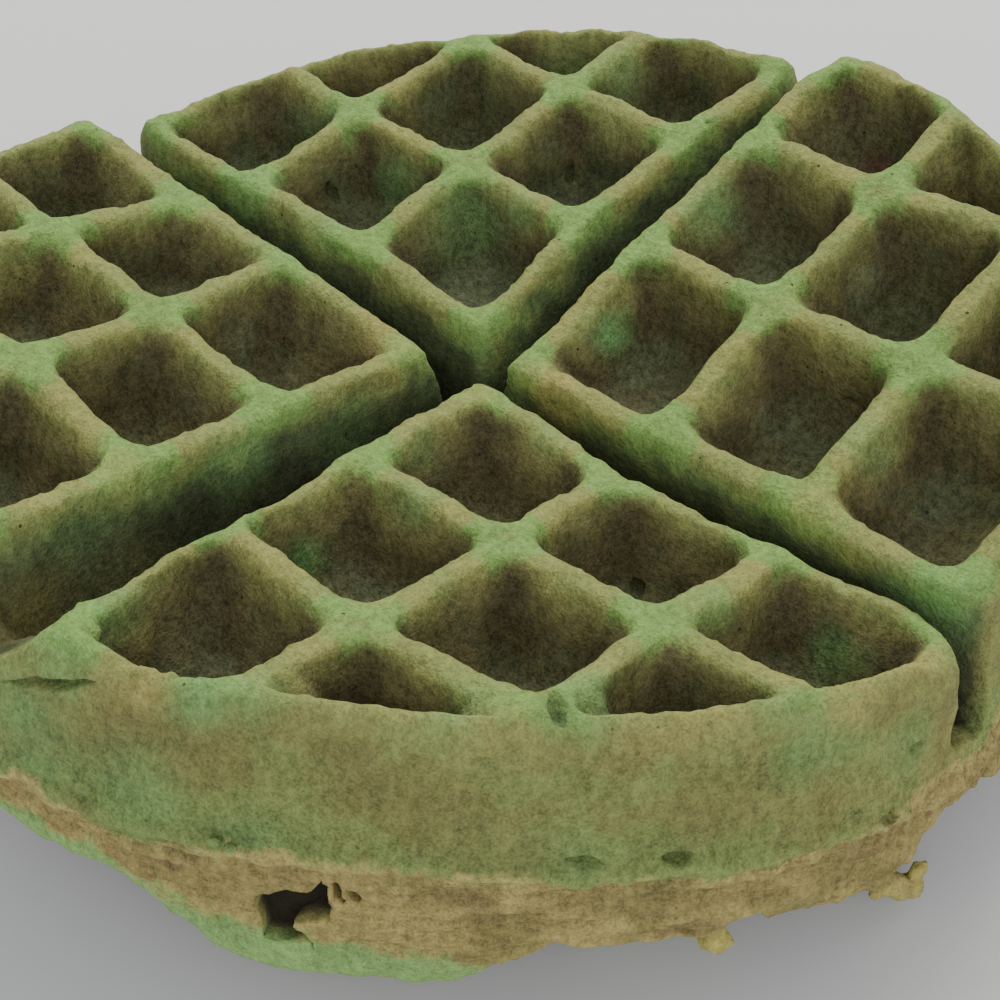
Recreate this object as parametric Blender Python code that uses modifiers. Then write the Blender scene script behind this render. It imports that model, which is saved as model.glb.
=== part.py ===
# Pandan waffle: one round, thick waffle in four quarters, with deep square pockets on both faces.
# Metres, +Z up. The two grooves run along X and Y and cross near the origin.
# The quarters tip up a little, and the waffle stands on the lowest corners of its underside.
import math
import random

import bmesh
import bpy
from mathutils import Matrix, Vector, noise

# Driving dimensions
PITCH = 0.023               # one pocket and one ridge
FIRST_RIDGE = 0.0097        # middle of a groove to the start of the grid
GROOVE_RIDGE = 0.0083       # middle of a groove to the ridge along it
RIDGE = 0.0018              # width of a ridge at its crest, before it is rounded
SHOULDER = 0.0014           # crest beside a groove, from the middle of its ridge
RIM_WIDTH = 0.0026          # crest of the rim
SEAM_RADIUS = 0.085         # where the two halves of the iron met
TOP_RIM_RADIUS = 0.0814     # middle of the rim's crest, upper face
FOOT_RIM_RADIUS = 0.0816    # the same, underside
TOP_HEIGHT = 0.0203         # seam to the upper crests
FOOT_HEIGHT = 0.0198        # seam to the lower crests
TOP_DEPTH = 0.0139          # pockets and grooves, upper face
FOOT_DEPTH = 0.0131         # the same, underside
DRAFT = 0.36                # how far a wall leans in for each metre that it goes down
GROOVE_END = 0.0750         # where a groove stops short of the rim
SEAM_LIP = 0.0012           # how far the seam stands out of the outer wall
RIM_ROLL = 0.0024           # rounding of the rim's outer edge
CORNER = 0.0036             # rounding inside a pocket
DEPTH_SPREAD = 0.0008       # how much one pocket's depth differs from the next

# How each groove runs out through the rim: its depth there, then for each side of it
# how fast it widens outwards and with height
PLAIN_END = (0.0108, {}, (0.35, 0.36))
ENDS = {
    ("y", -1): (0.0098, {"front": (0.20, 1.15)}, (0.80, 0.36)),
    ("x", 1): (0.0152, {"front": (0.90, 0.30)}, (0.35, 0.36)),
}

# Crossings of two ridges that sit out of line, in millimetres along X and Y
SHIFTS = {
    ("front", 1, 0): (-1.0, 2.5),
    ("front", 2, 0): (-1.5, 2.0),
    ("front", 0, 1): (0.0, -4.0),
    ("front", 0, 2): (-1.0, -1.0),
    ("front", 2, 1): (0.5, -1.0),
    ("front", 2, 2): (1.5, 0.5),
    ("left", 0, 1): (-1.5, 0.5),
    ("left", 0, 2): (0.0, -1.5),
    ("left", 1, 2): (-1.0, 1.0),
    ("left", 2, 1): (1.5, 1.0),
    ("back", 0, 1): (3.0, 1.0),
    ("back", 1, 1): (1.5, -1.0),
    ("back", 1, 2): (0.0, -1.5),
    ("back", 2, 0): (-1.0, 1.0),
    ("right", 1, 0): (-0.5, 1.0),
    ("right", 2, 0): (0.0, 3.0),
    ("right", 1, 1): (-1.0, 0.0),
    ("right", 1, 2): (-1.5, -1.0),
    ("back", 0, 0): (4.6, 0.3),
    ("right", 0, 2): (0.7, -1.0),
    ("right", 0, 3): (-1.0, -2.5),
    ("front", 3, 0): (3.0, 0.0),
    ("front", 0, 3): (0.0, -1.5),
}

# Where the batter fell short: the lower edge of the rim, in degrees from +X and millimetres from the seam
EDGE = [
    (-126, -21), (-116, -10), (-100, -8.2), (-77, -7.9), (-73, -9), (-70, -13.2), (-67, -16.4), (-62, -20),
    (-56, -19.8), (-50, -16.8), (-46, -13.8), (-43, -10.6), (-40, -9.6), (-31, -10.6), (-26, -8.6),
    (-20, -10.4), (-4, -11), (6, -9.5), (16, -13), (24, -21),
]
EDGE_STEP = 2
SHORT_RADIUS = 0.0735
RAGGED = 0.0009
RAGGED_FROM = -46

# Batter in the narrow corners of the pockets that the rim cuts, and drops under the lower edge.
# Each has its place in degrees, millimetres from the middle and above the seam, and its half sizes
# inwards, along the rim and up.
FILLS = [
    ((-65.2, 76.6, 9.0), (3.8, 5.6, 11.0)),
    ((-47.4, 77.2, 9.0), (3.8, 4.6, 11.0)),
    ((-40.2, 76.2, 8.8), (3.8, 5.2, 11.0)),
    ((-28.9, 81.3, -11.0), (2.0, 1.7, 3.2)),
    ((-12.2, 81.7, -11.8), (1.9, 2.5, 2.6)),
    ((-11.4, 82.0, -14.0), (1.7, 2.0, 2.2)),
]

# Dents, given in the same way: one in the rim and one in the wall of a pocket at the right
NICKS = [
    ((-42.6, 79.6, 20.4), (1.9, 2.6, 1.6)),
    ((61.2, 24.8, 14.6), (3.0, 4.2, 3.2)),
]

# A hollow torn in the lower rim
HOLE_ANGLE = -60
HOLE_RADIUS = 0.083
HOLE_HEIGHT = -0.0080
HOLE_SIZE = (0.0110, 0.0130, 0.0092)    # inwards, along the rim, up

# How each quarter is tipped about the middle of the waffle, in degrees about X, Y and Z,
# how far it is lifted, and how much it curls up towards its outer corner, per metre
TIPS = {
    "front": (-9.4, -0.5, 2.2),
    "left": (-12.1, 6.8, 0.4),
    "back": (7.8, 1.5, -2.0),
    "right": (13.1, -4.5, -0.6),
}
LIFTS = {"front": 0.0002, "left": -0.0014, "back": 0.0006, "right": -0.0012}
CURLS = {"front": 1.4, "left": 0.6, "back": -0.7, "right": 1.3}
SIGNS = {"front": (1, -1), "left": (-1, -1), "back": (-1, 1), "right": (1, 1)}
QUARTER_AT = {signs: quarter for quarter, signs in SIGNS.items()}
HINGE = 0.006               # half the width over which one quarter's tip fades into the next

# Finish of the solid
VOXEL = 0.0010
ROUNDING_PASSES = 5
SWELL = 0.0009              # slow unevenness of the whole form
SWELL_SIZE = 0.026
CRAG = 0.0005               # crusty unevenness of the surface
CRAG_SIZE = 0.008
FOOT_FLAT = 0.0012          # how much of each lowest corner is pressed flat
TRIANGLES = 11000
CRUST = (0.24, 0.27, 0.10, 1.0)
OVERSHOOT = 0.004           # how far cutters stand out of the face that they cut
TURN_STEPS = 144

POCKETS = [(1, 1), (1, 2), (1, 3), (2, 1), (2, 2), (2, 3), (3, 1), (3, 2)]


def new_object(name, mesh, home):
    thing = bpy.data.objects.new(name, mesh)
    home.objects.link(thing)
    return thing


def helper_from(form, name, home):
    """A hidden object of the mesh that was being edited."""
    mesh = bpy.data.meshes.new(name)
    form.to_mesh(mesh)
    form.free()
    helper = new_object(name, mesh, home)
    helper.hide_render = True
    helper.display_type = "WIRE"
    return helper


def loft(name, sections, home):
    """A body through sections of four corners each, with its ends closed."""
    form = bmesh.new()
    rings = [[form.verts.new(corner) for corner in section] for section in sections]
    for here, there in zip(rings, rings[1:]):
        for side in range(4):
            turn = (side + 1) % 4
            form.faces.new((here[side], here[turn], there[turn], there[side]))
    form.faces.new(rings[0])
    form.faces.new(rings[-1])
    bmesh.ops.recalc_face_normals(form, faces=form.faces)
    return helper_from(form, name, home)


def turned(name, outline, home):
    """A body turned about Z from (radius, height) points; the first and last lie on the axis."""
    form = bmesh.new()
    verts = [form.verts.new((radius, 0, height)) for radius, height in outline]
    edges = [form.edges.new(pair) for pair in zip(verts, verts[1:])]
    bmesh.ops.spin(
        form, geom=verts + edges, cent=(0, 0, 0), axis=(0, 0, 1), angle=math.tau,
        steps=TURN_STEPS, use_merge=True,
    )
    bmesh.ops.remove_doubles(form, verts=form.verts, dist=0.00005)
    bmesh.ops.recalc_face_normals(form, faces=form.faces)
    return helper_from(form, name, home)


def crossing(quarter, row, column):
    """Where two ridges cross. Rows are counted along Y and columns along X, outwards."""
    side_x, side_y = SIGNS[quarter]
    shift_x, shift_y = SHIFTS.get((quarter, row, column), (0, 0))
    out, along = (FIRST_RIDGE + step * PITCH if step else GROOVE_RIDGE for step in (column, row))
    return side_x * out + shift_x / 1000, side_y * along + shift_y / 1000


def pockets(name, crest, depth, up, rim_radius, home, draws):
    """All the pockets of one face as one cutter, held inside the rim."""
    form = bmesh.new()
    for quarter, (side_x, side_y) in SIGNS.items():
        for row, column in POCKETS:
            deep = depth + draws.uniform(-DEPTH_SPREAD, DEPTH_SPREAD)
            for vert in bmesh.ops.create_cube(form, size=1)["verts"]:
                ux = 1 if vert.co.x > 0 else -1
                uy = 1 if vert.co.y > 0 else -1
                reach = -OVERSHOOT if vert.co.z * up > 0 else deep
                inset = RIDGE / 2 + DRAFT * reach
                x, y = crossing(quarter, row - (uy != side_y), column - (ux != side_x))
                vert.co = (x - ux * inset, y - uy * inset, crest - up * reach)
    rounded = []
    for edge in form.edges:
        upper, lower = (up * (vert.co.z - crest) > 0 for vert in edge.verts)
        if not (upper and lower):
            rounded.append(edge)
    bmesh.ops.bevel(form, geom=rounded, offset=CORNER, segments=2, affect="EDGES", profile=0.5)
    cutter = helper_from(form, name, home)

    mouth = rim_radius - RIM_WIDTH / 2
    high = crest + up * OVERSHOOT * 1.5
    low = crest - up * depth * 1.3
    outline = [(0, high), (mouth + DRAFT * OVERSHOOT, high), (mouth - DRAFT * depth, low), (0, low)]
    trim = cutter.modifiers.new("rim", "BOOLEAN")
    trim.operation = "INTERSECT"
    trim.solver = "MANIFOLD"
    trim.object = turned(name + "_rim", outline, home)
    return cutter


def groove(name, crest, depth, up, along_x, home):
    """A channel across the waffle, with sides that follow the first ridges and shallow ends."""
    axis = "x" if along_x else "y"
    ends = [GROOVE_END - 0.002, GROOVE_END + 0.002, SEAM_RADIUS * 1.15]
    stations = [(-1, 3, place) for place in reversed(ends)]
    stations += [(-1, 1, None), (-1, 0, None), (1, 0, None), (1, 1, None)]
    stations += [(1, 3, place) for place in ends]
    sections = []
    for way, column, place in stations:
        end_depth, widening, plain = ENDS.get((axis, way), PLAIN_END)
        past = bool(place) and place > GROOVE_END
        deep = end_depth if past else depth
        section = []
        for side in (-1, 1):
            quarter = QUARTER_AT[(way, side) if along_x else (side, way)]
            x, y = crossing(quarter, 0, column) if along_x else crossing(quarter, column, 0)
            along, middle = (x, y) if along_x else (y, x)
            flare, slope = widening.get(quarter, plain)
            draft = slope if past else DRAFT
            if place:
                along = way * place
                middle += side * flare * max(0, place - GROOVE_END)
            for reach in ((-OVERSHOOT, deep) if side > 0 else (deep, -OVERSHOOT)):
                across = middle - side * (SHOULDER + draft * reach)
                z = crest - up * reach
                section.append((along, across, z) if along_x else (across, along, z))
        sections.append(section)
    return loft(name, sections, home)


def lower_edge(degree):
    """Height of the rim's lower edge, eased from each station of the table to the next."""
    for (start, low), (end, high) in zip(EDGE, EDGE[1:]):
        if start <= degree <= end:
            share = (degree - start) / (end - start)
            return (low + (high - low) * share * share * (3 - 2 * share)) / 1000
    return EDGE[0][1] / 1000


def short_fill(home, draws):
    """The missing part of the lower rim."""
    sections = []
    for degree in range(EDGE[0][0], EDGE[-1][0] + 1, EDGE_STEP):
        turn = Matrix.Rotation(math.radians(degree), 3, "Z")
        ragged = RAGGED if degree > RAGGED_FROM else 0
        edge = lower_edge(degree) + draws.uniform(-ragged, ragged)
        section = [
            (SHORT_RADIUS, 0, edge - 0.002), (0.1, 0, edge), (0.1, 0, -0.032), (SHORT_RADIUS, 0, -0.032),
        ]
        sections.append([turn @ Vector(corner) for corner in section])
    return loft("short_fill", sections, home)


def blob(name, place, size, home):
    """An uneven lump at a place of the rim."""
    form = bmesh.new()
    bmesh.ops.create_icosphere(form, subdivisions=3, radius=1)
    degree, out, up = place
    where = Matrix.Rotation(math.radians(degree), 4, "Z")
    where = where @ Matrix.Translation((out / 1000, 0, up / 1000))
    where = where @ Matrix.Diagonal((*[reach / 1000 for reach in size], 1))
    for vert in form.verts:
        vert.co *= 1 + 0.15 * noise.noise(vert.co * 1.6)
    form.transform(where)
    return helper_from(form, name, home)


def torn_hole(home):
    form = bmesh.new()
    bmesh.ops.create_icosphere(form, subdivisions=3, radius=0.5)
    place = Matrix.Rotation(math.radians(HOLE_ANGLE), 4, "Z")
    place = place @ Matrix.Translation((HOLE_RADIUS, 0, HOLE_HEIGHT))
    place = place @ Matrix.Diagonal((*HOLE_SIZE, 1))
    for vert in form.verts:
        vert.co *= 1 + 0.25 * noise.noise(vert.co * 3.1)
    form.transform(place)
    return helper_from(form, "torn_hole", home)


def fade(distance):
    share = min(max(distance / (2 * HINGE) + 0.5, 0), 1)
    return share * share * (3 - 2 * share)


def tipped(point, turns):
    """Moves a point with its quarter; near the grooves it follows two or four quarters in part."""
    east = fade(point.x)
    north = fade(point.y)
    hinge = Vector((0, 0, (TOP_HEIGHT - TOP_DEPTH + FOOT_DEPTH - FOOT_HEIGHT) / 2))
    moved = hinge.copy()
    for quarter, (side_x, side_y) in SIGNS.items():
        share = (east if side_x > 0 else 1 - east) * (north if side_y > 0 else 1 - north)
        arm = point - hinge
        arm.z += CURLS[quarter] * abs(point.x * point.y) + LIFTS[quarter]
        moved += share * (turns[quarter] @ arm)
    return moved


def press_feet(mesh, height):
    """Flattens what lies lower than this height above the lowest point."""
    low = min(vert.co.z for vert in mesh.vertices)
    for vert in mesh.vertices:
        vert.co.z = max(vert.co.z, low + height)


def in_order(mesh):
    """The same skin with its corners and faces in a fixed order, so that each build thins it alike."""
    places = [tuple(round(value, 6) for value in vert.co) for vert in mesh.vertices]
    order = sorted(range(len(places)), key=places.__getitem__)
    rank = {old: new for new, old in enumerate(order)}
    faces = []
    for face in mesh.polygons:
        corners = [rank[k] for k in face.vertices]
        first = corners.index(min(corners))
        faces.append(tuple(corners[first:] + corners[:first]))
    skin = bpy.data.meshes.new("waffle")
    skin.from_pydata([places[k] for k in order], [], sorted(faces))
    return skin


def main():
    for thing in list(bpy.data.objects):
        bpy.data.objects.remove(thing, do_unlink=True)
    parts = bpy.data.collections.new("pandan_waffle")
    helpers = bpy.data.collections.new("cutters")
    bpy.context.scene.collection.children.link(parts)
    bpy.context.scene.collection.children.link(helpers)
    draws = random.Random(11)
    top = TOP_HEIGHT
    foot = -FOOT_HEIGHT
    wall = SEAM_RADIUS - SEAM_LIP
    top_edge = TOP_RIM_RADIUS + RIM_WIDTH / 2
    foot_edge = FOOT_RIM_RADIUS + RIM_WIDTH / 2
    outline = [
        (0, top), (top_edge - RIM_ROLL, top), (top_edge, top - RIM_ROLL),
        (wall, SEAM_LIP), (SEAM_RADIUS, 0), (wall, -SEAM_LIP),
        (foot_edge, foot + RIM_ROLL), (foot_edge - RIM_ROLL, foot), (0, foot),
    ]
    blank = turned("blank", outline, helpers)
    cutters = [
        pockets("top_pockets", top, TOP_DEPTH, 1, TOP_RIM_RADIUS, helpers, draws),
        pockets("foot_pockets", foot, FOOT_DEPTH, -1, FOOT_RIM_RADIUS, helpers, draws),
    ]
    for name, crest, depth, up in (("top", top, TOP_DEPTH, 1), ("foot", foot, FOOT_DEPTH, -1)):
        for axis, along_x in (("x", True), ("y", False)):
            cutters.append(groove(f"{name}_groove_{axis}", crest, depth, up, along_x, helpers))
    cutters.append(short_fill(helpers, draws))
    cutters.append(torn_hole(helpers))
    steps = [(cutter, "DIFFERENCE") for cutter in cutters]
    steps += [(blob(f"fill_{k}", *entry, helpers), "UNION") for k, entry in enumerate(FILLS)]
    steps += [(blob(f"nick_{k}", *entry, helpers), "DIFFERENCE") for k, entry in enumerate(NICKS)]
    for tool, operation in steps:
        cut = blank.modifiers.new(tool.name, "BOOLEAN")
        cut.operation = operation
        cut.solver = "MANIFOLD"
        cut.object = tool
    skin = blank.modifiers.new("skin", "REMESH")
    skin.mode = "VOXEL"
    skin.voxel_size = VOXEL
    soft = blank.modifiers.new("soft", "SMOOTH")
    soft.factor = 0.5
    soft.iterations = ROUNDING_PASSES
    graph = bpy.context.evaluated_depsgraph_get()
    mesh = in_order(bpy.data.meshes.new_from_object(blank.evaluated_get(graph)))

    turns = {}
    for quarter, angles in TIPS.items():
        axis = Vector(angles)
        turns[quarter] = Matrix.Rotation(math.radians(axis.length), 3, axis)
    noise.seed_set(4)
    for vert in mesh.vertices:
        point = vert.co.copy()
        slow = SWELL * noise.noise_vector(point / SWELL_SIZE)
        crag = CRAG * noise.noise_vector(point / CRAG_SIZE)
        vert.co = tipped(point + slow + crag, turns)
    press_feet(mesh, FOOT_FLAT)
    print("skin", len(mesh.polygons))

    waffle = new_object("waffle", mesh, parts)
    thin = waffle.modifiers.new("thin", "DECIMATE")
    thin.ratio = TRIANGLES / (2 * len(mesh.polygons))
    graph = bpy.context.evaluated_depsgraph_get()
    thinned = bpy.data.meshes.new_from_object(waffle.evaluated_get(graph))
    waffle.modifiers.clear()
    waffle.data = thinned
    press_feet(thinned, FOOT_FLAT / 10)
    places = [vert.co for vert in thinned.vertices]
    low = [min(place[k] for place in places) for k in range(3)]
    high = [max(place[k] for place in places) for k in range(3)]
    middle = Vector(((low[0] + high[0]) / 2, (low[1] + high[1]) / 2, low[2]))
    print("middle", [round(value, 5) for value in middle])
    print("size", [round(high[k] - low[k], 5) for k in range(3)])
    thinned.transform(Matrix.Translation(-middle))

    crust = bpy.data.materials.new("pandan_crust")
    crust.use_nodes = True
    shader = crust.node_tree.nodes["Principled BSDF"]
    shader.inputs["Base Color"].default_value = CRUST
    shader.inputs["Roughness"].default_value = 0.8
    thinned.materials.clear()
    thinned.materials.append(crust)


main()
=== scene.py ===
import itertools
import math
import random

import bmesh
import bpy
import numpy as np
from mathutils import Matrix, Vector, noise


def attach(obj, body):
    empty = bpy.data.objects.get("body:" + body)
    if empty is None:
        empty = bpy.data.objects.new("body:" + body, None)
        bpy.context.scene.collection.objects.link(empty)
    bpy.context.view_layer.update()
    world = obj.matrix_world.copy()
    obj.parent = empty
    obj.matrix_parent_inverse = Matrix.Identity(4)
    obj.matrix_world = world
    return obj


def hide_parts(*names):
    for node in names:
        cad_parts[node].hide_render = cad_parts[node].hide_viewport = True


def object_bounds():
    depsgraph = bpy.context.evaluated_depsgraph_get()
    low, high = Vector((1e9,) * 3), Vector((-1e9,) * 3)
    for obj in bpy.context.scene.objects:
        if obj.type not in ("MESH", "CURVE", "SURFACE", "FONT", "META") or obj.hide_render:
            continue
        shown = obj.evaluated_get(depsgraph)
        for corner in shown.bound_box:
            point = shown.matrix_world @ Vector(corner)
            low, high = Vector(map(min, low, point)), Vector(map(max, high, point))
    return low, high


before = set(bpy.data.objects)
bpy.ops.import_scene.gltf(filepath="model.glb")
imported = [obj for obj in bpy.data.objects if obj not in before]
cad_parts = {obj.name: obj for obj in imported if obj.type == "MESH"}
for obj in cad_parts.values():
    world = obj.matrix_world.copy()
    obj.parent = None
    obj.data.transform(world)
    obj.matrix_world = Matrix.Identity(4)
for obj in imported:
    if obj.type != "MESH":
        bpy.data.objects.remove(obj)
cadBox = [list(corner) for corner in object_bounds()]
print("frame loaded", cadBox)


# small helpers for working in edit mode

def clearSelection():
    if bpy.context.object and bpy.context.object.mode != "OBJECT":
        bpy.ops.object.mode_set(mode="OBJECT")
    bpy.ops.object.select_all(action="DESELECT")


def activate(thing):
    clearSelection()
    thing.select_set(True)
    bpy.context.view_layer.objects.active = thing


def nameNew(name):
    thing = bpy.context.object
    thing.name = name
    thing.data.name = name
    return thing


def settle(name):
    bpy.ops.object.transform_apply(location=True, rotation=True, scale=True)
    return nameNew(name)


def edit(thing):
    activate(thing)
    bpy.ops.object.mode_set(mode="EDIT")
    bpy.ops.mesh.select_all(action="DESELECT")


def pick(thing, test, kind="VERT"):
    # test gets a vertex, edge or face of the mesh in edit mode
    bpy.ops.mesh.select_all(action="DESELECT")
    bpy.ops.mesh.select_mode(type=kind)
    form = bmesh.from_edit_mesh(thing.data)
    parts = {"VERT": form.verts, "EDGE": form.edges, "FACE": form.faces}[kind]
    for part in parts:
        if test(part):
            part.select_set(True)
    if kind == "VERT":
        form.select_flush(True)
    bmesh.update_edit_mesh(thing.data)


def atPlace(x=None, y=None, z=None, reach=0.0004):
    # for pick: a vertex at the given coordinates, where None takes any
    def test(vert):
        return all(want is None or abs(have - want) < reach for have, want in zip(vert.co, (x, y, z)))
    return test


def pickAll():
    bpy.ops.mesh.select_all(action="SELECT")


def leaveEdit():
    pickAll()
    bpy.ops.mesh.normals_make_consistent(inside=False)
    bpy.ops.object.mode_set(mode="OBJECT")
    clearSelection()


def applyModifier(thing, kind, **settings):
    activate(thing)
    bpy.ops.object.modifier_add(type=kind)
    modifier = thing.modifiers[-1]
    for setting, value in settings.items():
        setattr(modifier, setting, value)
    bpy.ops.object.modifier_apply(modifier=modifier.name)


def cutAway(thing, tools, keep="DIFFERENCE"):
    # the tools are closed bodies, and the manifold solver leaves no open edge on this form
    for tool in tools:
        applyModifier(thing, "BOOLEAN", operation=keep, solver="MANIFOLD", object=tool)
        bpy.data.objects.remove(tool, do_unlink=True)


# the iron that the waffle was baked in: both faces share one grid of posts

iron = {
    "pitch": 0.023,              # one pocket and one ridge
    "firstRidge": 0.0097,        # middle of a groove to the start of the grid
    "grooveRidge": 0.0083,       # middle of a groove to the ridge along it
    "ridge": 0.0012,             # crest width before it is rounded
    "rimWidth": 0.0024,
    "shoulder": 0.0012,          # crest beside a groove, from the ridge's middle
    "seamRadius": 0.085,
    "seamLip": 0.0012,
    "rimRoll": 0.0024,           # rounding of the rim's outer edge
    "draft": 0.36,
    "corner": 0.0023,            # rounding of a pocket's upright corners
    "floorCorner": 0.0044,       # rounding around its floor
    "depthSpread": 0.0008,
    "overshoot": 0.004,
    "grooveEnd": 0.0750,         # where a groove turns shallow
    # each groove's end: its depth through the rim, then how it widens outwards and down
    "ends": {
        "other": (0.0108, {}, (0.35, 0.36)),
        ("y", -1): (0.0098, {"front": (0.20, 1.15)}, (0.80, 0.36)),
        ("x", 1): (0.0152, {"front": (0.90, 0.30)}, (0.35, 0.36)),
    },
    "top": {"crest": 0.0202, "up": 1, "depth": 0.0138, "rimRadius": 0.0814},
    "foot": {"crest": -0.0196, "up": -1, "depth": 0.0130, "rimRadius": 0.0816},
    "signs": {"front": (1, -1), "left": (-1, -1), "back": (-1, 1), "right": (1, 1)},
    "shifts": {                  # crossings that sit out of line, millimetres along X and Y
        ("front", 1, 0): (-1.0, 2.5), ("front", 2, 0): (-1.5, 2.0), ("front", 0, 1): (0.0, -4.0),
        ("front", 0, 2): (-1.0, -1.0), ("front", 2, 1): (0.5, -1.0), ("front", 2, 2): (1.5, 0.5),
        ("left", 0, 1): (-1.5, 0.5), ("left", 0, 2): (0.0, -1.5), ("left", 1, 2): (-1.0, 1.0),
        ("left", 2, 1): (1.5, 1.0), ("back", 0, 1): (3.0, 1.0), ("back", 1, 1): (1.5, -1.0),
        ("back", 1, 2): (0.0, -1.5), ("back", 2, 0): (-1.0, 1.0), ("right", 1, 0): (-0.5, 1.0),
        ("right", 2, 0): (0.0, 3.0), ("right", 1, 1): (-1.0, 0.0), ("right", 1, 2): (-1.5, -1.0),
        ("back", 0, 0): (4.6, 0.3), ("right", 0, 2): (0.7, -1.0), ("right", 0, 3): (-1.0, -2.5),
        ("front", 3, 0): (3.0, 0.0), ("front", 0, 3): (0.0, -1.5),
    },
}


def crossing(quarter, row, column):
    # where two ridges cross; rows run along Y and columns along X, counted outwards
    sideX, sideY = iron["signs"][quarter]
    shiftX, shiftY = iron["shifts"].get((quarter, row, column), (0, 0))
    out, along = (iron["firstRidge"] + step * iron["pitch"] if step else iron["grooveRidge"]
                  for step in (column, row))
    return sideX * out + shiftX / 1000, sideY * along + shiftY / 1000


def makeBlank():
    # batter that fills the closed iron: a disc that is widest at the seam
    top, foot = iron["top"], iron["foot"]
    topEdge = top["rimRadius"] + iron["rimWidth"] / 2
    footEdge = foot["rimRadius"] + iron["rimWidth"] / 2
    wall = iron["seamRadius"] - iron["seamLip"]
    rings = [
        (foot["crest"], footEdge - iron["rimRoll"]), (foot["crest"] + iron["rimRoll"], footEdge),
        (-iron["seamLip"], wall), (0, iron["seamRadius"]), (iron["seamLip"], wall),
        (top["crest"] - iron["rimRoll"], topEdge), (top["crest"], topEdge - iron["rimRoll"]),
    ]
    bpy.ops.mesh.primitive_cylinder_add(
        vertices=160, radius=topEdge, depth=top["crest"] - foot["crest"],
        location=(0, 0, (top["crest"] + foot["crest"]) / 2))
    blank = settle("waffleBlank")
    edit(blank)
    for height, radius in rings[1:-1]:
        pickAll()
        bpy.ops.mesh.bisect(plane_co=(0, 0, height), plane_no=(0, 0, 1))
    for height, radius in rings:
        pick(blank, atPlace(z=height))
        grow = radius / topEdge
        bpy.ops.transform.resize(value=(grow, grow, 1), center_override=(0, 0, height))
    leaveEdit()
    return blank


def makePockets(name, face, draws):
    # the posts of one plate: a grid of squares, each inset to its mouth and drawn in as it goes down
    crest, up, depth = face["crest"], face["up"], face["depth"]
    outer = iron["overshoot"]
    mouth = crest + up * outer
    reach = iron["firstRidge"] + 1.5 * iron["pitch"]
    posts = []
    for quarter, (sideX, sideY) in iron["signs"].items():
        clearSelection()
        bpy.ops.mesh.primitive_grid_add(
            x_subdivisions=3, y_subdivisions=3, size=3 * iron["pitch"],
            location=(sideX * reach, sideY * reach, mouth))
        post = settle(name + quarter)
        edit(post)
        for row, column in itertools.product(range(4), repeat=2):
            x, y = crossing(quarter, row, column)
            gridX, gridY = (side * (iron["firstRidge"] + step * iron["pitch"])
                            for side, step in ((sideX, column), (sideY, row)))
            if (x, y) != (gridX, gridY):
                pick(post, atPlace(gridX, gridY, mouth))
                bpy.ops.transform.translate(value=(x - gridX, y - gridY, 0))
        far = iron["firstRidge"] + 2 * iron["pitch"] + 0.004
        pick(post, lambda face: all(abs(k) > far for k in face.calc_center_median()[:2]), "FACE")
        bpy.ops.mesh.delete(type="FACE")
        pickAll()
        if up > 0:
            bpy.ops.mesh.flip_normals()
        bpy.ops.mesh.inset(thickness=iron["ridge"] / 2 - iron["draft"] * outer, use_individual=True)
        bpy.ops.mesh.select_all(action="INVERT")
        bpy.ops.mesh.delete(type="FACE")
        pickAll()
        full = depth + outer
        bpy.ops.mesh.inset(thickness=iron["draft"] * full, depth=full, use_individual=True)
        floors = [face.calc_center_median().copy() for face in bmesh.from_edit_mesh(post.data).faces
                  if abs(face.normal.z) > 0.9]
        for middle in sorted(floors, key=lambda place: (round(place.x, 4), round(place.y, 4))):
            pick(post, lambda face: (face.calc_center_median() - middle).length < 0.002, "FACE")
            spread = draws.uniform(-iron["depthSpread"], iron["depthSpread"])
            bpy.ops.transform.translate(value=(0, 0, -up * spread))
        pickAll()
        bpy.ops.mesh.fill_holes(sides=4)
        deepest = crest - up * (depth - iron["depthSpread"] * 2)
        pick(post, lambda edge: all(up * (vert.co.z - deepest) < 0 for vert in edge.verts), "EDGE")
        bpy.ops.mesh.bevel(offset=iron["floorCorner"], segments=4, affect="EDGES", profile=0.5)
        pick(post, lambda edge: abs(edge.verts[0].co.z - edge.verts[1].co.z) > depth * 0.5, "EDGE")
        bpy.ops.mesh.bevel(offset=iron["corner"], segments=2, affect="EDGES", profile=0.5)
        leaveEdit()
        posts.append(post)
    for post in posts:
        post.select_set(True)
    bpy.context.view_layer.objects.active = posts[0]
    bpy.ops.object.join()
    plate = nameNew(name)
    high = crest + up * outer * 1.5
    low = crest - up * depth * 1.3
    inner = face["rimRadius"] - iron["rimWidth"] / 2
    radii = (inner - iron["draft"] * depth * 1.3, inner + iron["draft"] * outer * 1.5)[::up]
    clearSelection()
    bpy.ops.mesh.primitive_cone_add(
        vertices=160, radius1=radii[0], radius2=radii[1], depth=abs(high - low), location=(0, 0, (high + low) / 2))
    cutAway(plate, [settle(name + "Rim")], keep="INTERSECT")
    return plate


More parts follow.
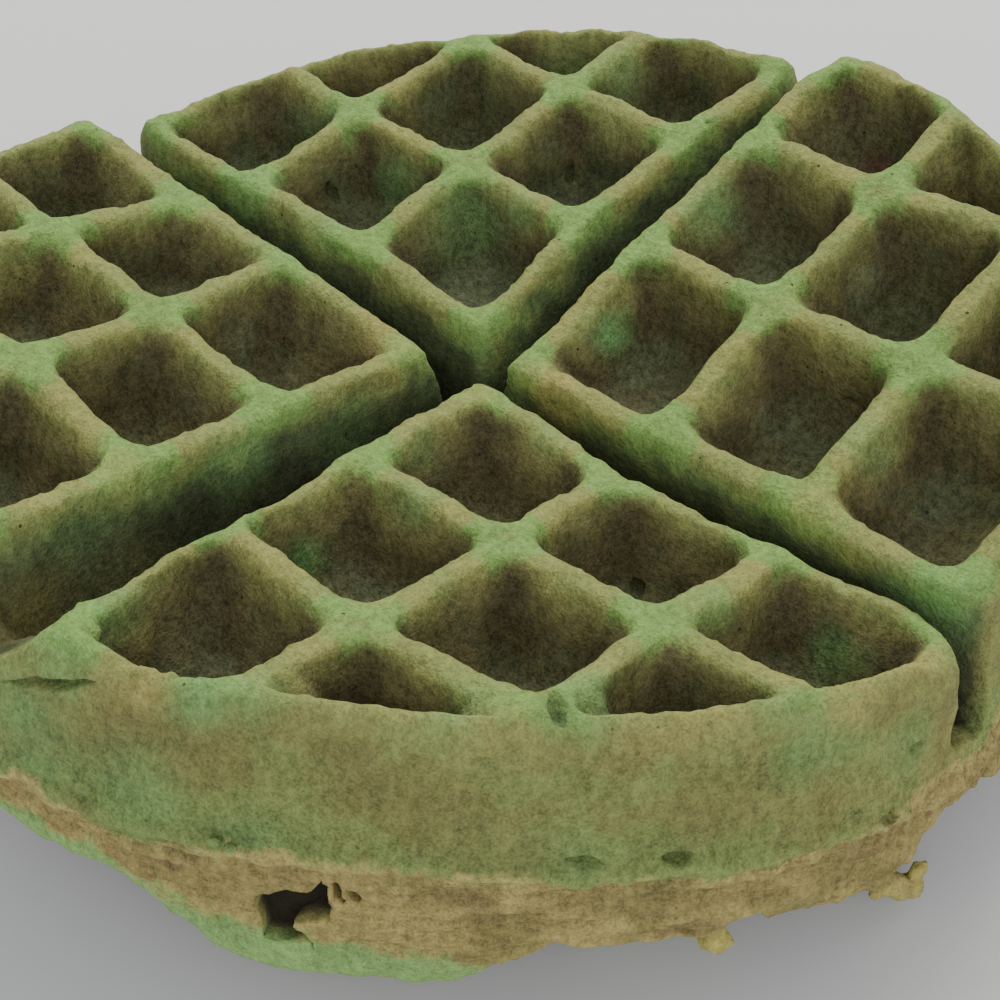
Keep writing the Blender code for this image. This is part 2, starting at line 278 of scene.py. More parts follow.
def makeGroove(name, face, alongX):
    # a channel whose sides follow the first ridges, with shallow ends that widen through the rim
    crest, up, depth = face["crest"], face["up"], face["depth"]
    outside = iron["seamRadius"] * 1.15
    outer = iron["overshoot"]
    quarterAt = {signs: quarter for quarter, signs in iron["signs"].items()}
    halfWidth = iron["firstRidge"]

    def laid(first, second, *rest):
        # values for a groove along X, and for one along Y the first two change places
        return (first, second, *rest) if alongX else (second, first, *rest)

    clearSelection()
    bpy.ops.mesh.primitive_cube_add(size=2)
    bpy.ops.transform.resize(value=laid(outside, halfWidth, (depth + outer) / 2))
    bpy.ops.transform.translate(value=(0, 0, crest + up * (outer - depth) / 2))
    groove = settle(name)
    ridges = [iron["firstRidge"] + k * iron["pitch"] for k in range(2)]
    ends = [iron["grooveEnd"] - 0.002, iron["grooveEnd"] + 0.002]
    edit(groove)
    for way in (-1, 1):
        for place in ridges + ends:
            pickAll()
            bpy.ops.mesh.bisect(plane_co=laid(way * place, 0, 0), plane_no=laid(1, 0, 0))
    for way in (-1, 1):
        endDepth, widening, plain = iron["ends"].get(("x" if alongX else "y", way), iron["ends"]["other"])
        for (step, place), side in itertools.product(enumerate(ridges + ends + [outside]), (-1, 1)):
            deep = depth if step < 3 else endDepth
            quarter = quarterAt[laid(way, side)]
            reach, ridge = laid(*crossing(quarter, *laid(0, step if step < 2 else 3)))
            draft = iron["draft"]
            if step >= 2:
                reach = way * place
                flare, slope = widening.get(quarter, plain)
                ridge += side * flare * max(0, place - iron["grooveEnd"])
                draft = slope if step > 2 else draft
            for level in (-outer, deep):
                across = ridge - side * (iron["shoulder"] + draft * level)
                now = laid(way * place, side * halfWidth, crest - up * (level if level < 0 else depth))
                want = laid(reach, across, crest - up * level)
                pick(groove, atPlace(*now, reach=0.00005))
                bpy.ops.transform.translate(value=[b - a for a, b in zip(now, want)])
    leaveEdit()
    return groove


# where the batter fell short: the lower edge of the rim, as degrees from +X and millimetres from the seam

faults = {
    "edge": [
        (-126, -21), (-116, -10), (-100, -8.2), (-77, -7.9), (-73, -9), (-70, -13.2), (-67, -16.4), (-62, -20),
        (-56, -19.8), (-50, -16.8), (-46, -13.8), (-43, -10.6), (-40, -9.6), (-31, -10.6), (-26, -8.6),
        (-20, -10.4), (-4, -11), (6, -9.5), (16, -13), (24, -21),
    ],
    "step": 2,
    "radius": (0.0735, 0.1),
    "height": (-0.032, -0.021),  # of the missing slice, where the rim is whole
    "ragged": 0.0009,
    "raggedFrom": -46,
    "hole": {
        "angle": -60,
        "punch": (0.088, 0.0090),    # where the outline stands, and how far in it goes
        "outline": [                 # millimetres along the rim, from the angle above, and up
            (-6.0, -6.9), (-4.9, -6.0), (-1.7, -4.5), (0.1, -4.8), (1.4, -3.0), (2.0, -3.5), (2.1, -5.3),
            (2.9, -6.5), (2.0, -7.3), (2.0, -8.9), (0.0, -9.1), (-1.9, -10.1), (-2.3, -11.3), (-1.0, -11.6),
            (0.1, -13.0), (-2.7, -12.8), (-5.6, -13.0), (-5.8, -10.5), (-6.5, -9.0),
        ],
        "slivers": [
            [(2.5, -3.0), (3.4, -2.4), (3.6, -4.1), (4.2, -5.1), (3.8, -6.0), (2.7, -5.0)],
            [(4.3, -3.6), (5.2, -3.8), (6.2, -4.7), (5.2, -5.8), (4.5, -5.3)],
        ],
        "cavity": ((-60.4, 80.4, -7.9), (2.2, 10.5, 7.0)),
    },
}


def polar(place):
    # degrees from +X, millimetres from the middle, millimetres above the seam
    around, out, up = place
    return Vector((out * math.cos(math.radians(around)), out * math.sin(math.radians(around)), up)) / 1000


def lowerEdge(degree):
    stations = faults["edge"]
    for (start, low), (end, high) in zip(stations, stations[1:]):
        if start <= degree <= end:
            share = (degree - start) / (end - start)
            return (low + (high - low) * share * share * (3 - 2 * share)) / 1000
    return faults["height"][1]


def makeShortFill(name, draws):
    # what the batter left empty: a slice spun about the middle, its upper side then set to the ragged edge
    start, end = faults["edge"][0][0], faults["edge"][-1][0]
    (radius, outside), (low, high) = faults["radius"], faults["height"]
    clearSelection()
    bpy.ops.mesh.primitive_plane_add(size=1, rotation=(math.pi / 2, 0, 0))
    bpy.ops.transform.resize(value=(outside - radius, 1, high - low))
    bpy.ops.transform.translate(value=((outside + radius) / 2, 0, (high + low) / 2))
    fill = settle(name)
    steps = (end - start) // faults["step"]
    edit(fill)
    pickAll()
    bpy.ops.mesh.spin(steps=steps, angle=math.radians(end - start), center=(0, 0, 0), axis=(0, 0, 1))
    pickAll()
    bpy.ops.mesh.remove_doubles(threshold=0.00005)
    bpy.ops.mesh.fill_holes(sides=4)
    form = bmesh.from_edit_mesh(fill.data)
    way = 1 if max(vert.co.y for vert in form.verts) > -min(vert.co.y for vert in form.verts) else -1
    for step in range(steps + 1):
        degree = start + step * faults["step"] if way > 0 else end - step * faults["step"]
        ragged = faults["ragged"] if degree > faults["raggedFrom"] else 0.0
        edge = lowerEdge(degree) + draws.uniform(-ragged, ragged)
        turn = way * math.radians(step * faults["step"])
        side = Vector((math.cos(turn), math.sin(turn), 0))
        for reach, lift in ((radius, edge - 0.002 - high), (outside, edge - high)):
            place = side * reach
            pick(fill, atPlace(place.x, place.y, high, reach=0.0003))
            bpy.ops.transform.translate(value=(0, 0, lift))
    leaveEdit()
    fill.data.transform(Matrix.Rotation(math.radians(start if way > 0 else end), 4, "Z"))
    return fill


def makeBlob(name, place, size, turn=(0, 0, 0), bumps=0.2):
    # an uneven lump or pit; its size is inwards, along the rim and up, and turn is about those axes
    clearSelection()
    bpy.ops.mesh.primitive_ico_sphere_add(subdivisions=3, radius=1)
    blob = nameNew(name)
    noise.seed_set(7)
    shift = Vector(place) * 0.37
    for vert in blob.data.vertices:
        vert.co *= 1 + bumps * noise.noise(vert.co * 1.6 + shift)
    around = math.radians(place[0])
    frameTurn = Matrix.Translation(polar(place)) @ Matrix.Rotation(around, 4, "Z")
    for axis, angle in zip("XYZ", turn):
        frameTurn = frameTurn @ Matrix.Rotation(math.radians(angle), 4, axis)
    blob.data.transform(frameTurn @ Matrix.Diagonal((*[reach / 1000 for reach in size], 1)))
    return blob


def makeRimPunch(name, outline):
    # a flat outline stood against the rim and extruded through its crust
    start, depth = faults["hole"]["punch"]
    middle = [sum(place[k] for place in outline) / len(outline) for k in (0, 1)]

    def turnOf(place):
        return math.atan2(place[1] - middle[1], place[0] - middle[0])

    clearSelection()
    bpy.ops.mesh.primitive_circle_add(vertices=len(outline), radius=0.01, fill_type="NGON")
    punch = nameNew(name)
    edit(punch)
    corners = sorted(bmesh.from_edit_mesh(punch.data).verts, key=lambda vert: math.atan2(vert.co.y, vert.co.x))
    first = min(range(len(outline)), key=lambda k: turnOf(outline[k]))
    ordered = outline[first:] + outline[:first]
    if turnOf(ordered[1]) < turnOf(ordered[0]):
        ordered = [ordered[0]] + ordered[:0:-1]
    for corner, (along, up) in zip(corners, ordered):
        corner.co = (start, along / 1000, up / 1000)
    pickAll()
    bpy.ops.mesh.extrude_region_move(TRANSFORM_OT_translate={"value": (-depth, 0, 0)})
    leaveEdit()
    punch.data.transform(Matrix.Rotation(math.radians(faults["hole"]["angle"]), 4, "Z"))
    return punch


# how the baked waffle sagged: each quarter tips about the middle and curls up at its corner

stance = {
    "tips": {"front": (-9.4, -0.5, 2.2), "left": (-12.1, 6.8, 0.4),
             "back": (7.8, 1.5, -2.0), "right": (13.1, -4.5, -0.6)},      # degrees about X, Y and Z
    "lifts": {"front": 0.0002, "left": -0.0014, "back": 0.0006, "right": -0.0012},
    "curls": {"front": 1.4, "left": 0.6, "back": -0.7, "right": 1.3},
    "hinge": 0.006,
    "swell": (0.0009, 0.026),        # height and size of the slow unevenness
    "crag": (0.0005, 0.008),
    "footFlat": 0.0012,
    "middle": (-0.00031, 0.00024, -0.01667),
}


def noiseAt(points, size, seed):
    noise.seed_set(seed)
    return np.array([noise.noise_vector(Vector(point)) for point in points / size])


def tipped(points):
    def fade(distance):
        share = np.clip(distance / (2 * stance["hinge"]) + 0.5, 0, 1)
        return share * share * (3 - 2 * share)
    top, foot = iron["top"], iron["foot"]
    middle = (top["crest"] - top["depth"] + foot["crest"] + foot["depth"]) / 2
    hinge = np.array((0, 0, middle))
    east, north = fade(points[:, 0]), fade(points[:, 1])
    moved = np.zeros_like(points)
    for quarter, (sideX, sideY) in iron["signs"].items():
        share = (east if sideX > 0 else 1 - east) * (north if sideY > 0 else 1 - north)
        axis = Vector(stance["tips"][quarter])
        turn = np.array(Matrix.Rotation(math.radians(axis.length), 3, axis))
        arm = points - hinge
        arm[:, 2] += stance["curls"][quarter] * np.abs(points[:, 0] * points[:, 1]) + stance["lifts"][quarter]
        moved += share[:, None] * (arm @ turn.T)
    return moved + hinge


crust = {
    "voxel": 0.0007,
    "rounding": 9,
    "softening": 2,
    "triangles": 192000,
    "folds": (0.00034, 0.0040),      # height and size of soft folds
    "grain": (0.00022, 0.0018),
    "crumbs": (0.00022, 0.0011),     # on crests alone
    "crestZone": (0.0022, 0.0006),   # below a crest: where crumbs start, and where they are full
    "bandZone": (0.078, 0.080),      # the same for the band under the seam, by radius
    "layers": (0.0007, (0.0055, 0.004, 0.0012)),     # of that band: height, then size around, out and up
    "crinkles": (0.0007, (0.0008, 0.004, 0.006)),    # upright creases at its right end
    "crinkled": ((-24, -14), (20, 8)),               # where they come and go, in degrees
    "margin": 0.003,                 # outermost relief, drawn in
}

# lumps and pits in the baked surface; places as in polar(), sizes in millimetres

fills = [        # batter in the narrow corners of the pockets that the rim cuts
    ((-64.2, 76.6, 9.0), (3.8, 6.2, 11.0)), ((-47.4, 77.2, 9.0), (3.8, 4.6, 11.0)),
    ((-40.2, 76.2, 8.8), (3.8, 5.2, 11.0)),
]
lumps = {
    "seamFringe": [((-66.6, 84.6, 1.5), (0.5, 0.9, 0.6)), ((-65.2, 84.7, 1.0), (0.5, 0.8, 0.5))],
    "collar": [
        ((-81.2, 77.2, 18.6), (1.5, 2.4, 1.5)), ((-77.0, 80.2, 18.9), (0.9, 1.9, 0.9)),
        ((-73.6, 80.4, 19.0), (0.7, 1.6, 0.7)), ((-71.5, 80.2, 19.2), (0.6, 0.8, 0.6)),
    ],
    "drips": [
        ((-28.9, 81.3, -10.6), (1.9, 1.6, 2.6)), ((-28.3, 81.9, -13.3), (1.6, 2.0, 1.9)),
        ((-12.6, 81.6, -11.2), (1.8, 2.6, 1.8)), ((-11.6, 82.0, -13.6), (1.4, 2.3, 1.7)),
        ((-9.8, 82.2, -14.9), (1.6, 3.4, 1.6), (-34, 0, 0)), ((-7.8, 82.3, -16.2), (1.6, 2.1, 1.8)),
        ((-7.4, 82.3, -13.8), (1.0, 1.9, 0.9), (20, 0, 0)),
    ],
}
pits = {
    "rimNick": [((-42.9, 79.8, 20.9), (3.2, 1.2, 2.4)), ((-41.3, 80.2, 21.6), (2.6, 2.6, 2.3))],
    "wallDents": [
        ((-40.2, 84.3, 2.3), (1.4, 2.4, 0.9)), ((-33.2, 84.3, 1.9), (1.8, 1.9, 1.0)),
        ((-14.9, 84.3, 0.8), (1.3, 1.2, 0.9)), ((-12.8, 83.6, 9.1), (1.2, 1.1, 0.9)),
        ((-70.6, 83.6, 8.5), (0.7, 3.2, 1.6), (-20, 0, 0)), ((-50.5, 83.8, 13.5), (0.6, 3.6, 1.2), (8, 0, 0)),
        ((-25.0, 84.0, 6.5), (0.7, 3.0, 1.0), (12, 0, 0)),
    ],
    "creases": [
        ((-57.7, 84.2, 11.7), (0.7, 3.0, 0.40), (8, 0, 0)), ((-33.4, 84.2, 10.5), (0.7, 2.6, 0.45), (-10, 0, 0)),
        ((-81.2, 83.2, 15.0), (1.9, 7.4, 0.8), (24, 0, 0)), ((-45.3, 84.3, 8.2), (0.6, 3.4, 0.35), (4, 0, 0)),
        ((-64.0, 84.2, 7.2), (0.6, 3.0, 0.4), (-6, 0, 0)), ((-28.0, 84.3, 4.6), (0.6, 2.6, 0.35), (6, 0, 0)),
        ((-20.5, 84.0, 11.5), (0.6, 2.8, 0.4), (-14, 0, 0)),
    ],
    "bandSlits": [
        ((-48.9, 85.0, -0.3), (0.6, 1.6, 0.35)), ((-47.6, 84.9, -1.0), (0.6, 0.8, 0.3)),
        ((-35.5, 84.3, -3.2), (0.7, 1.8, 0.35)), ((-33.6, 84.2, -4.4), (0.7, 1.4, 0.35)),
        ((-37.8, 84.1, -5.0), (0.7, 2.0, 0.3)), ((-31.0, 84.4, -2.6), (0.7, 1.5, 0.3)),
        ((-42.5, 84.0, -6.4), (0.7, 2.6, 0.35)), ((-26.0, 84.0, -5.6), (0.7, 2.4, 0.35)),
        ((-53.0, 84.0, -7.6), (0.6, 2.4, 0.35)), ((-21.5, 84.0, -3.6), (0.7, 2.0, 0.35)),
        ((-71.0, 84.2, -4.0), (0.6, 2.6, 0.35), (-12, 0, 0)),
    ],
    "pocketSlits": [
        ((118.4, 56.3, 10.4), (1.3, 0.8, 3.2)), ((157.8, 55.2, 12.2), (1.6, 1.1, 2.2)),
        ((174.2, 60.6, 12.6), (1.5, 0.9, 0.9)), ((-24.0, 45.3, 9.2), (1.4, 3.4, 1.3), (0, 0, 40)),
        ((30.1, 54.8, 12.2), (0.6, 2.2, 0.5), (0, 0, 50)),
    ],
}


def readPoints(mesh, name=None):
    layer = mesh.attributes[name].data if name else mesh.vertices
    values = np.empty(len(mesh.vertices) * 3)
    layer.foreach_get("vector" if name else "co", values)
    return values.reshape(-1, 3)


def writePoints(mesh, points):
    mesh.vertices.foreach_set("co", points.ravel())
    mesh.update()


def writeMask(mesh, name, values):
    layer = mesh.attributes.new(name, "FLOAT", "POINT")
    layer.data.foreach_set("value", np.ascontiguousarray(values, dtype=np.float32))


def ramp(values, start, end):
    share = np.clip((values - start) / (end - start), 0, 1)
    return share * share * (3 - 2 * share)


def averaged(mesh, values, rounds):
    # each value becomes the mean of its neighbours', several times over
    edges = np.empty(len(mesh.edges) * 2, dtype=np.int64)
    mesh.edges.foreach_get("vertices", edges)
    one, other = edges.reshape(-1, 2).T
    count = np.bincount(edges, minlength=len(mesh.vertices)).astype(float)
    values = values.copy()
    for step in range(rounds):
        total = np.empty_like(values)
        for k in range(values.shape[1]):
            total[:, k] = np.bincount(one, values[other, k], len(count))
            total[:, k] += np.bincount(other, values[one, k], len(count))
        values = total / count[:, None]
    return values


# where the colours of the baked crust lie

tones = {
    "wall": (0.0806, 0.0824),        # radius at which the outer wall starts and is full
    "channel": (0.0026, 0.0004),     # the same for a groove, inwards from the ridge along it
    "span": (0.0030, 0.0088),        # and for a ridge between crossings, from the nearest one
    "torn": (0.0772, 0.0782, 0.0820, 0.0828),        # radius where the painted shade inside the torn hole starts, is full and ends
    "bulgeShading": 0.0006,
    # heights of the seam and of the band's foot around the waffle, as degrees from +X and millimetres
    "seamLine": [
        (-180, 0.5), (-100, 1.5), (-86, 1.0), (-81, -0.5), (-76, -2.2), (-72, -1.8), (-68, -0.4), (-63, 0.8),
        (-50, 0.2), (-29, -1.2), (-21, -0.9), (-14, 1.1), (-8, 3.7), (4, 3.0), (30, 0.5), (180, 0.5),
    ],
    "lowLine": [
        (-180, -11), (-100, -7), (-78, -6), (-73, -7.5), (-68, -10.5), (-64, -11.6), (-51, -12.5), (-46, -15),
        (-40, -20), (10, -20), (30, -12), (180, -11),
    ],
}

# soft spots as x, y, z, radius and strength, where each lay in the iron, in millimetres
marks = {
    "mint": [
        (-30, 65, 18, 6, 0.5), (-27, 26, 14, 7, 0.7), (-19, 30, 19, 5, 0.5), (-42, 27, 13, 6, 0.6),
        (-56, 7, 19, 7, 0.5), (-38, 9, 20, 6, 0.4), (11.5, 21.5, 15, 4.5, 1.0), (10.5, 45.5, 17.6, 6, 0.6),
        (57, 19.5, 18.7, 5, 0.6), (75, 4.3, 18, 7, 0.6), (19, -33, 19, 4, 0.5), (11.5, -44.4, 12, 4.5, 0.8),
        (10, -22.6, 17.6, 4, 0.4), (22, -11, 20, 4, 0.4), (12, -72, 18.4, 5, 0.5), (57, -25, 18.7, 4, 0.5),
        (67, -14, 12.2, 4.5, 0.7), (59, -49, 19.9, 5, 0.7), (50.5, -60, 20.5, 5, 0.7), (10, -82.7, 7, 9, 0.7),
        (14, -81, 17, 5, 0.5), (80.7, -20, 9.7, 5, 0.5), (76.3, -32.4, 14, 7, 0.6), (-5.7, -40, 16.4, 6, 0.4),
        (-5.8, -65, 16.7, 6, 0.3), (36.6, -75.7, 1.1, 6, 0.5), (30, -76, 18.5, 5, 0.7), (35.5, -73, 19, 4, 0.5),
        (24, -80, 5, 8, 0.5), (73, -36, 19, 4, 0.5), (62, -52, 19, 4, 0.5), (29, -52, 19.5, 4, 0.5),
        (-60, 30, 14, 8, 0.4), (-40, 62, 14, 8, 0.4), (-4, -22.9, 14, 5, 0.3), (64, -55, 3, 6, 0.3),
    ],
    "tan": [
        (23.4, -78.8, 18.4, 3.8, 0.9), (19.5, -80.5, 16.5, 3.2, 0.5), (69, -43.5, 18.8, 5, 0.6),
        (66, -50, 17.9, 4, 0.4), (55.4, -60, 18.6, 5, 0.5), (77, -28.5, 18.7, 5, 0.7),
        (58.7, 9, 19.8, 6, 0.6), (16, 6.5, 18.6, 6, 0.9), (12, 7, 20, 4, 0.6), (71, 21, 12, 7, 0.6),
        (8, -10.6, 20, 4, 0.6), (-12, -10, 19.8, 6, 0.5), (-7, -14, 18, 4, 0.5), (-8, -58, 20, 5, 0.4),
        (9, -36, 19.5, 5, 0.3), (33, -8, 20, 5, 0.4), (58, 20, 19.5, 5, 0.4), (36, 32, 19.5, 6, 0.3),
        (9, 24, 19, 4, 0.5), (31, -52.5, 20, 2.5, 0.6), (77.6, -20, 19.7, 4, 0.5), (80, -24, 4, 8, 0.4),
        (83, -12, 5, 8, 0.6), (78, -33, 5, 7, 0.3),
    ],
    "brown": [
        (13.4, -13.7, 15, 8, 0.9), (11.2, -41, 14, 7, 0.4), (12.7, -62.3, 13, 7, 0.4), (39, -16, 15, 8, 0.8),
        (38, -37.4, 14, 7, 0.4), (62, -13.7, 15, 7, 0.6), (37.6, -59.5, 16.6, 5, 0.4), (61.7, -35.3, 17, 5, 0.4),
        (11.5, 54, 16.6, 6, 0.5), (-5.8, -21.6, 16.7, 6, 0.8), (20.7, -80.4, 11.3, 6, 0.7), (32, -76.5, 13, 6, 0.5),
        (16, 10, 12, 8, 0.4), (60, -35, 12, 6, 0.4), (70, -48, 12, 6, 0.2), (45, -69, 12, 6, 0.3),
        (55, -61, -2.5, 3, 0.5), (40, -73, -5, 6, 0.4), (30, -78, -4, 5, 0.4), (72, -43, -6, 5, 0.3),
    ],
    "ash": [
        (20, 22.6, 7, 6, 0.8), (42, 23, 7, 7, 0.9), (37.6, 22, 9.8, 4, 0.8), (64, 20.5, 7, 7, 0.8),
        (14.4, 48.5, 8.9, 5, 0.6), (36.8, 46, 11.8, 5, 0.6), (42, 47, 7, 7, 0.8), (-29, -20, 11.4, 5, 0.6),
        (14.3, 72, 9.9, 6, 0.5), (16, -41, 7.5, 6, 0.8), (-2.5, -62, 7.7, 9, 0.5), (14, -62.7, 9.2, 6, 0.5),
        (46.6, -37.6, 9, 6, 0.8), (64, -36, 12, 5, 0.6), (20, -20, 6.5, 5, 0.3),
    ],
    "moss": [
        (-20, 20, 8, 14, 0.8), (-45, 25, 8, 14, 0.7), (-22, 46, 8, 14, 0.8), (-50, 50, 8, 16, 0.7),
        (-66, 22, 8, 14, 0.8), (-22, 68, 8, 12, 0.8), (-46, -22, 8, 12, 0.5), (-68, -20, 8, 14, 0.7),
        (22, 46, 8, 12, 0.5), (22, 70, 8, 12, 0.4), (44, 46, 8, 14, 0.4),
    ],
    "drip": [(72.3, -39.0, -13.5, 3, 0.9), (80.4, -16.5, -15, 3, 0.7), (81.4, -11.5, -14, 3, 0.5)],
    "grooveFloor": [(0, -72, 7, 10, 0.9), (0, -60, 7, 9, 0.5)],
    # painted shade in the dents of the outer wall, the rim's nick and under the seam's fringe
    "dentShade": [(70.2, -46, 1.9, 2.4, 0.3), (64.1, -54.1, 2.3, 2.2, 0.2), (81.1, -21.6, 0.8, 1.8, 0.3),
             (81.3, -18.5, 9.1, 1.6, 0.3), (58.5, -54.2, 18.4, 2.6, 0.7), (37, -76, 2.5, 2.2, 0.3)],
    "red": [(20, 70.5, 8, 3.5, 0.8), (27, 30, 9, 2, 0.4)],
}


def levelAt(stations, values):
    places, heights = zip(*stations)
    return np.interp(values, places, heights)


def makeMasks(mesh):
    # what the finish needs to know of each place, from where it lay in the iron
    rest = readPoints(mesh, "rest")
    x, y, z = rest.T
    wrap = mesh.attributes.new("wrap", "FLOAT_VECTOR", "POINT")
    radius = np.hypot(x, y)
    degrees = np.degrees(np.arctan2(y, x))
    wrap.data.foreach_set("vector", np.stack((np.radians(degrees) * iron["seamRadius"], radius, z), 1).ravel())
    depth = np.clip(np.where(z > 0, iron["top"]["crest"] - z, z - iron["foot"]["crest"]) * 1000, 0, 16)
    wall = ramp(radius, *tones["wall"])
    inner, outer = (iron["grooveRidge"] - inset for inset in tones["channel"])
    channel = 1 - ramp(np.minimum(np.abs(x), np.abs(y)), inner, outer)
    nearest = np.full_like(x, 1.0)
    for quarter, row, column in itertools.product(iron["signs"], range(4), range(4)):
        acrossX, acrossY = crossing(quarter, row, column)
        nearest = np.minimum(nearest, np.hypot(x - acrossX, y - acrossY))
    span = ramp(nearest, *tones["span"])       # nil at a crossing, one between crossings
    crossed = 1 - span
    # painted shade: a mask along the pockets' upright corners, where the finish darkens the colour
    cornerShade = np.zeros_like(x)                  # the upright corners of the pockets
    for quarter, row, column in itertools.product(iron["signs"], range(3), range(3)):
        corners = [crossing(quarter, row + up, column + out) for up in (0, 1) for out in (0, 1)]
        midX, midY = np.mean(corners, axis=0)
        offX, offY = np.abs(x - midX) * 1000, np.abs(y - midY) * 1000
        near = (offX < 11.5) & (offY < 11.5)
        line = (1 - ramp(np.abs(offX - offY), 0.4, 4.2)) * ramp(np.maximum(offX, offY), 2.5, 5.5)
        cornerShade = np.where(near, np.maximum(cornerShade, line), cornerShade)
    aroundHole = np.exp(-((degrees - faults["hole"]["angle"]) / 7) ** 2 - ((z * 1000 + 6.5) / 6.5) ** 2)
    start, full, fade, end = tones["torn"]
    masks = {
        "cornerShade": cornerShade * ramp(depth, 0.5, 2.2) * (1 - wall),
        "depth": depth,
        "span": span,
        "toasted": np.clip((depth - 0.2 - 0.7 * crossed) / (3.2 + 0.6 * crossed), 0, 1),
        "browned": np.clip((depth - 1.6 - 0.6 * crossed) / 5.5, 0, 1),
        "channel": channel * (1 - wall),
        "wall": wall,
        "belowSeam": levelAt(tones["seamLine"], degrees) - z * 1000,
        "belowBand": levelAt(tones["lowLine"], degrees) - z * 1000,
        "torn": (ramp(radius, start, full) * (1 - ramp(radius, fade, end))
                 * ramp(aroundHole, 0.06, 0.2) * (z < -0.0005)),
    }
    for name, entries in marks.items():
        strength = np.zeros_like(x)
        for *middle, size, share in entries:
            distance = np.linalg.norm(rest * 1000 - np.array(middle), axis=1)
            strength = np.maximum(strength, share * (1 - ramp(distance, size * 0.2, size * 1.25)))
        masks[name + "Mark"] = strength
    places = readPoints(mesh)
    normals = np.empty(len(places) * 3)
    mesh.vertices.foreach_get("normal", normals)
    # painted highlight and shade: places standing out of the smoothed surface get paler, hollows darker
    bulgeShading = ((places - averaged(mesh, places, 14)) * normals.reshape(-1, 3)).sum(1)
    masks["bulgeShading"] = np.clip(bulgeShading / tones["bulgeShading"], -1, 1)
    for name, values in masks.items():
        writeMask(mesh, name, values)


def roughened(points):
    # unevenness of every size, thin layers under the seam, and upright creases at the band's right end
    top, foot = iron["top"], iron["foot"]
    x, y, z = points.T
    radius, around = np.hypot(x, y), np.arctan2(y, x)
    start, full = crust["crestZone"]
    crest = np.maximum(ramp(z, top["crest"] - start, top["crest"] - full),
                       ramp(z, foot["crest"] + start, foot["crest"] + full))
    rim = ramp(radius, *crust["bandZone"])
    band = rim * ramp(z, 0.001, -0.001)
    band *= ramp(z * 1000 - levelAt(tones["lowLine"], np.degrees(around)), -1.5, 0.5)
    (comes, isFull), (goes, isFaint) = [[math.radians(degree) for degree in ends] for ends in crust["crinkled"]]
    right = ramp(around, comes, isFull) * ramp(around, goes, isFaint)
    moved = points.copy()
    for key, part, share in (("swell", stance, 1), ("crag", stance, 1), ("folds", crust, 1), ("grain", crust, 1),
                             ("crumbs", crust, np.maximum(crest, band)[:, None])):
        height, size = part[key]
        moved += share * height * noiseAt(points, size, 4)
    out = points / np.maximum(radius, 0.001)[:, None]
    out[:, 2] = 0
    for key, share in (("layers", band * (1 - right)), ("crinkles", rim * ramp(z, 0.005, 0.002) * right)):
        height, (wide, deep, high) = crust[key]
        cells = np.stack((around * iron["seamRadius"] / wide, radius / deep, z / high), 1)
        moved += out * (share * height * noiseAt(cells, 1, 9)[:, 0])[:, None]
    return moved


def drawnIn(places):
    # the outermost relief is drawn in, so that none of it reaches past the plain solid
    margin = crust["margin"]
    places[:, 2] = np.maximum(places[:, 2], 0)
    for axis, limit in enumerate(cadBox[1]):
        distance, way = np.abs(places[:, axis]), np.sign(places[:, axis])
        start = limit - margin
        beyond = max(distance.max() - start, margin)
        drawn = start + (distance - start) * margin / beyond
        places[:, axis] = way * np.where(distance > start, drawn, distance)
        print("axis", axis, "drawn in by", round((beyond - margin) * 1000, 2), "mm")
    return places


def makeWaffle():
    draws = random.Random(11)
    top, foot = iron["top"], iron["foot"]
    waffle = makeBlank()
    print("blank", len(waffle.data.polygons))
    tools = [makePockets("topPosts", top, draws), makePockets("footPosts", foot, draws)]
    for label, face in (("top", top), ("foot", foot)):
        tools.append(makeGroove(label + "GrooveX", face, True))
        tools.append(makeGroove(label + "GrooveY", face, False))
    tools.append(makeShortFill("shortFill", draws))
    hole = faults["hole"]
    tools.append(makeBlob("holeCavity", *hole["cavity"], bumps=0.1))
    print("cutting tools", len(tools))
    narrow = [makeBlob("cornerFill", *entry, bumps=0.1) for entry in fills]
    cutAway(waffle, tools)
    cutAway(waffle, narrow, keep="UNION")
    print("cut form", len(waffle.data.polygons))
    applyModifier(waffle, "REMESH", mode="VOXEL", voxel_size=crust["voxel"])
    applyModifier(waffle, "SMOOTH", factor=0.5, iterations=crust["rounding"])
    print("skin", len(waffle.data.polygons))
    for name, entries in lumps.items():
        cutAway(waffle, [makeBlob(name, *entry) for entry in entries], keep="UNION")
    for name, entries in pits.items():
        cutAway(waffle, [makeBlob(name, *entry) for entry in entries])
    for outline in [hole["outline"]] + hole["slivers"]:
        cutAway(waffle, [makeRimPunch("holePunch", outline)])
    applyModifier(waffle, "SMOOTH", factor=0.5, iterations=crust["softening"])
    print("lumps and pits", len(waffle.data.polygons))

    points = readPoints(waffle.data)
    rest = waffle.data.attributes.new("rest", "FLOAT_VECTOR", "POINT")
    rest.data.foreach_set("vector", points.ravel())
    moved = tipped(roughened(points))
    moved[:, 2] = np.maximum(moved[:, 2], moved[:, 2].min() + stance["footFlat"])
    print("size", np.ptp(moved, axis=0).round(5))
    moved -= np.array(stance["middle"])
    moved[:, 2] -= moved[:, 2].min()
    writePoints(waffle.data, moved)
    applyModifier(waffle, "DECIMATE", ratio=crust["triangles"] / (2 * len(waffle.data.polygons)))
    writePoints(waffle.data, drawnIn(readPoints(waffle.data)))
    makeMasks(waffle.data)
    waffle.name = waffle.data.name = "waffleCrust"
    print("waffle", sum(len(face.vertices) - 2 for face in waffle.data.polygons), "triangles")
    return waffle


# node tools for the finish

def addNode(tree, kind, inputs=None, **settings):
    # an input is another node's socket, or a value
    node = tree.nodes.new(kind)
    for setting, value in settings.items():
        setattr(node, setting, value)
    for key, value in (inputs or {}).items():
        if isinstance(value, bpy.types.NodeSocket):
            tree.links.new(value, node.inputs[key])
        else:
            node.inputs[key].default_value = value
    return node


